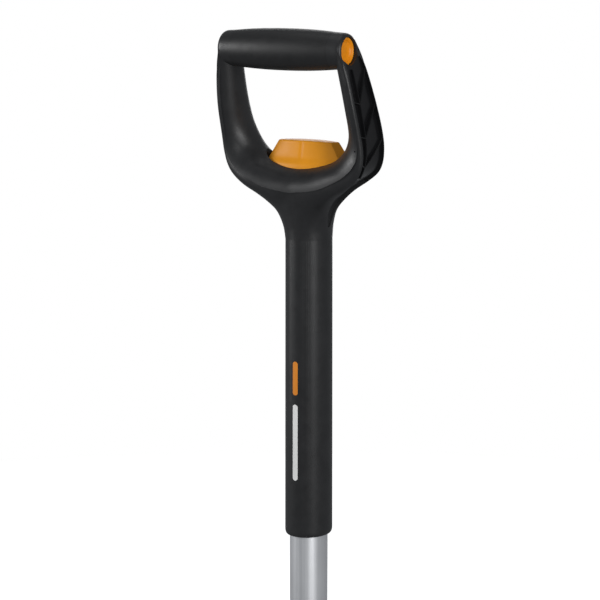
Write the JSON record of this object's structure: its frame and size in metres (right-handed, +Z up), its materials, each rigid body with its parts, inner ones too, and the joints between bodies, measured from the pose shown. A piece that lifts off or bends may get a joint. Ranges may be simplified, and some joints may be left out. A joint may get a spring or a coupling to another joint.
{
  "type": "garden spade",
  "caption": "Telescopic garden spade with a D-handle, a release button in the hand opening, a sliding shaft and a dished steel blade.",
  "frame": {"origin": "middle of the hand grip, on its axis", "axes": "+Z up the shaft from the blade to the grip, +X along the grip and across the blade, -Y the digging side that the handle leans towards"},
  "size_m": [0.19, 0.0748, 1.0482],
  "materials": {
    "black_nylon": "finely textured glass-filled nylon, glossy in the recesses",
    "soft_grip": "soft-touch moulded grip",
    "orange_nylon": "satin moulded nylon",
    "zinc_plated_steel": "bright zinc plate",
    "spring_steel": "drawn wire",
    "grey_acetal": "moulded acetal",
    "brake_pad": "moulded friction pad",
    "satin_aluminium": "satin silver anodised",
    "blade_steel": "black powder coat on boron steel, bright at the ground edge"
  },
  "bodies": {
    "handle": {"handle_frame": "black_nylon", "crossbar_grip": "soft_grip", "end_plug_right": "orange_nylon", "end_plug_left": "orange_nylon", "button_spring": "spring_steel", "lock_head": "grey_acetal", "stem_tube": "zinc_plated_steel", "stem_pin_right": "zinc_plated_steel", "stem_pin_left": "zinc_plated_steel", "mouth_bush": "grey_acetal"},
    "button": {"release_button": "orange_nylon", "push_rod": "zinc_plated_steel", "brake_wedge": "zinc_plated_steel"},
    "front_shoe": {"brake_shoe_front": "brake_pad"},
    "back_shoe": {"brake_shoe_back": "brake_pad"},
    "tool": {"shaft": "satin_aluminium", "shaft_guide": "grey_acetal", "ferrule": "black_nylon", "socket": "blade_steel", "socket_rivet_upper": "zinc_plated_steel", "socket_rivet_lower": "zinc_plated_steel", "blade": "blade_steel", "tread_right": "blade_steel", "tread_left": "blade_steel"}
  },
  "joints": [
    {"name": "telescope", "type": "slide", "parent": "handle", "child": "tool", "axis": [0, 0, -1], "range_m": [0, 0.2]},
    {"name": "button_press", "type": "slide", "parent": "handle", "child": "button", "axis": [0, 0, -1], "range_m": [0, 0.008], "stiffness_N_per_m": 600, "springref_m": -0.006, "deforming": ["button_spring"]},
    {"name": "front_shoe_slide", "type": "slide", "parent": "handle", "child": "front_shoe", "axis": [0, 1, 0], "range_m": [0, 0.0016]},
    {"name": "back_shoe_slide", "type": "slide", "parent": "handle", "child": "back_shoe", "axis": [0, -1, 0], "range_m": [0, 0.0016]}
  ],
  "couplings": [
    {"joint": "front_shoe_slide", "follows": "button_press", "ratio": 0.2},
    {"joint": "back_shoe_slide", "follows": "button_press", "ratio": 0.2}
  ]
}
